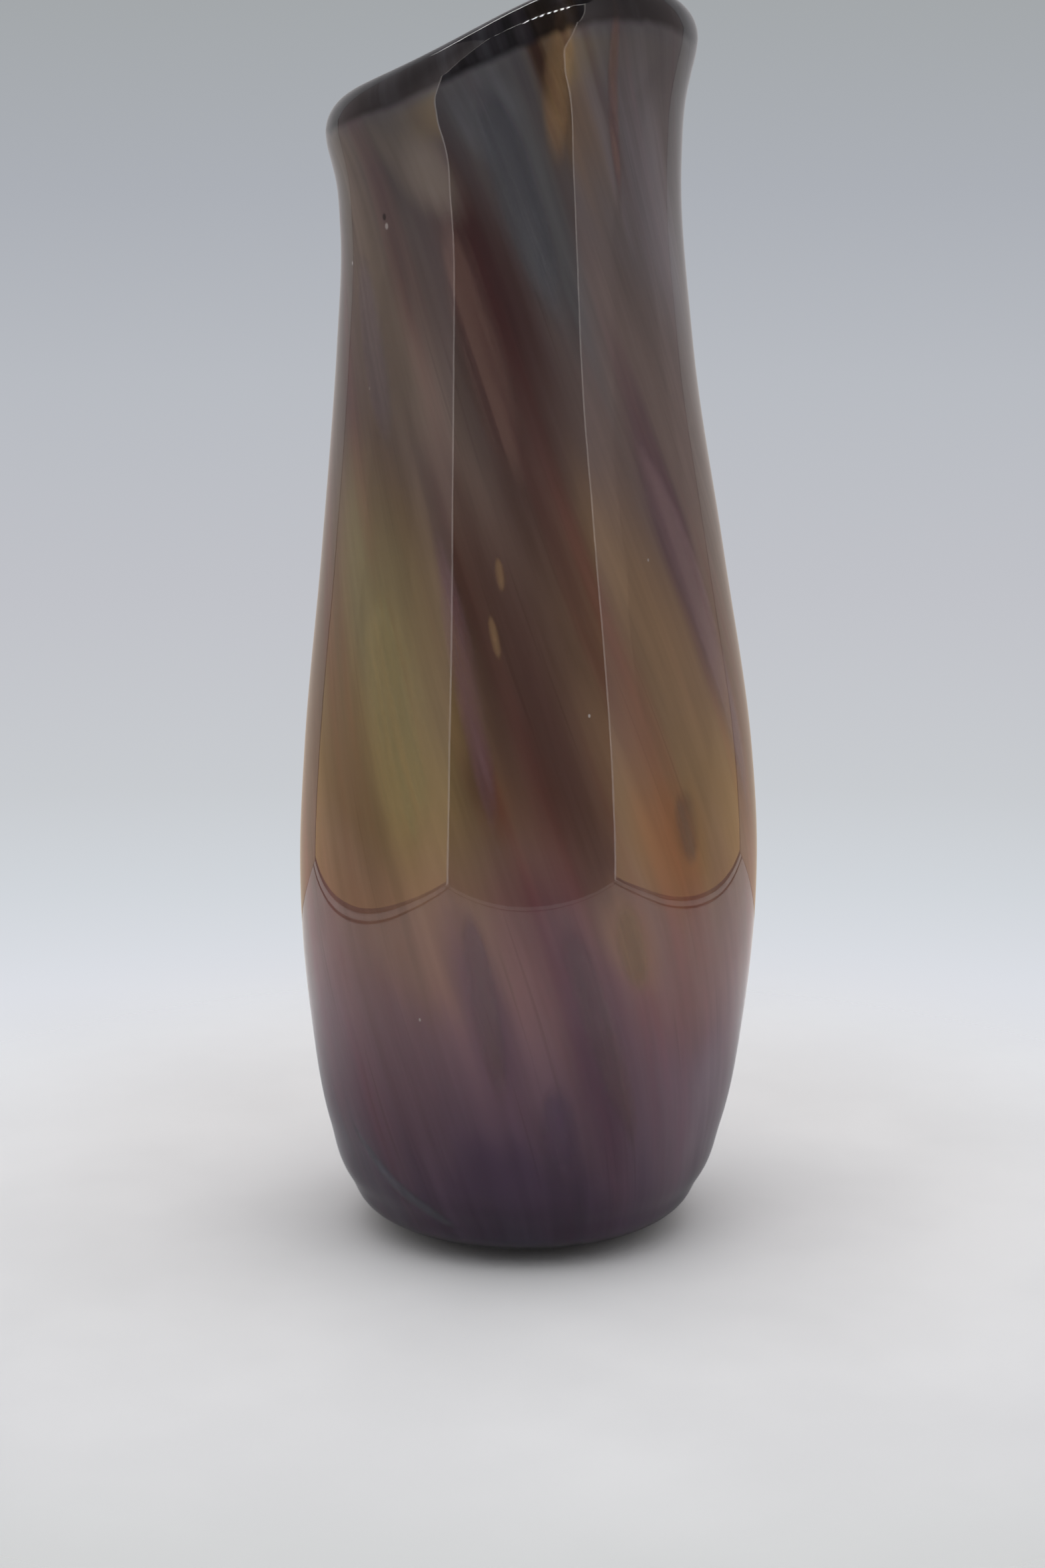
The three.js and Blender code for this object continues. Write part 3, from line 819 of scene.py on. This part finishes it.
def build_lamps():
    """A bright strip along the back wall's top, and a row of lamps that the lip mirrors."""
    glint = emission("back_strip", (1.0, 1.0, 1.0), 7)
    strip = emission("led_strip", (1.0, 0.97, 0.94), 9)
    lamp = emission("led", (1.0, 1.0, 1.0), 28)
    heights = (BOX_HEIGHT - BACK_STRIP_HEIGHT, BOX_HEIGHT)
    facing("back_strip", BOX_BACK - 2 * CLEAR, heights, glint)
    y, z = BOX_FRONT + LED_PLACE, BOX_HEIGHT - LED_PLACE
    facing("led_strip", y, (z, z + LED_STRIP_HEIGHT), strip)
    for i in range(LED_COUNT):
        x = LED_MIDDLE + LED_SPACING * (i - (LED_COUNT - 1) / 2)
        span = (x - LED_WIDTH / 2, x + LED_WIDTH / 2)
        facing(f"led_{i}", y, (z - LED_LENGTH, z), lamp, span).visible_diffuse = False


def floor_material(name, far):
    """A pale cloth floor that fades out towards a far radius."""
    graph = Graph(name)
    place = graph.add("TexCoord").outputs["Object"]
    cloth = graph.noise(place, 12, detail=3).outputs[0]
    colour = graph.mix(graph.smooth(cloth, 0.3, 0.7), (0.80, 0.81, 0.83, 1), (0.86, 0.87, 0.89, 1))
    away = graph.vector("LENGTH", place, (0, 0, 0))
    alpha = graph.smooth(away, far / 3, far, 1, 0)
    shader = graph.add("BsdfPrincipled", {"Base Color": colour, "Roughness": 0.7, "Alpha": alpha})
    return graph.finish(shader.outputs[0])


def build_floor():
    """One floor for the camera, fading into the backdrop, and a wide one that the glass mirrors."""
    r = 0.8
    corners = [(-r, -r, 0), (r, -r, 0), (r, r, 0), (-r, r, 0)]
    seen = panel("floor", corners, floor_material("floor", 0.29), True)
    seen.visible_glossy = seen.visible_transmission = seen.visible_shadow = False
    lying("box_floor", -0.0005, floor_material("box_floor", 9))


# The backdrop's colours, as (height of the view line plus a half, linear colour).
BACKDROP = [
    (0.062, (0.61, 0.62, 0.62)), (0.113, (0.62, 0.62, 0.65)), (0.142, (0.62, 0.64, 0.67)),
    (0.171, (0.70, 0.72, 0.76)), (0.201, (0.76, 0.78, 0.82)), (0.231, (0.72, 0.74, 0.79)),
    (0.262, (0.64, 0.67, 0.71)), (0.294, (0.58, 0.60, 0.63)), (0.357, (0.53, 0.54, 0.58)),
    (0.425, (0.48, 0.50, 0.54)), (0.486, (0.41, 0.43, 0.47)), (0.56, (0.36, 0.38, 0.39)),
]


def build_world():
    """A pale backdrop for the camera, and the dark room for what the open front lets in."""
    graph = Graph("backdrop", bpy.data.worlds)
    split = graph.add("SeparateXYZ", {0: graph.add("TexCoord").outputs["Generated"]})
    ramp = graph.add("ValToRGB", {0: graph.math("ADD", split.outputs["Z"], 0.5)})
    fill_ramp(ramp.color_ramp, BACKDROP)
    seen = graph.add("Background", {"Color": ramp.outputs[0]})
    room = graph.add("Background", {"Color": (0.02, 0.02, 0.022, 1)})
    camera_ray = graph.add("LightPath").outputs["Is Camera Ray"]
    shader = graph.add("MixShader", {0: camera_ray, 1: room.outputs[0], 2: seen.outputs[0]})
    bpy.context.scene.world = graph.finish(shader.outputs[0], "OutputWorld")


CAMERA_PLACE = (-0.0013, -0.750, 0.272)
CAMERA_TILT = math.radians(11.915)  # below level
CAMERA_LENS = 69.64  # millimetres, for a 36 mm long side


def build_camera():
    data = bpy.data.cameras.new("camera")
    data.lens = CAMERA_LENS
    data.sensor_width = 36
    camera = bpy.data.objects.new("camera", data)
    camera.location = CAMERA_PLACE
    camera.rotation_euler = (math.pi / 2 - CAMERA_TILT, 0, 0)
    bpy.context.scene.collection.objects.link(camera)
    bpy.context.scene.camera = camera


build_camera()
build_world()
build_floor()
build_walls()
build_fills()
build_lamps()
build_layers()
build_streaks()
bpy.context.scene.view_settings.view_transform = "Standard"
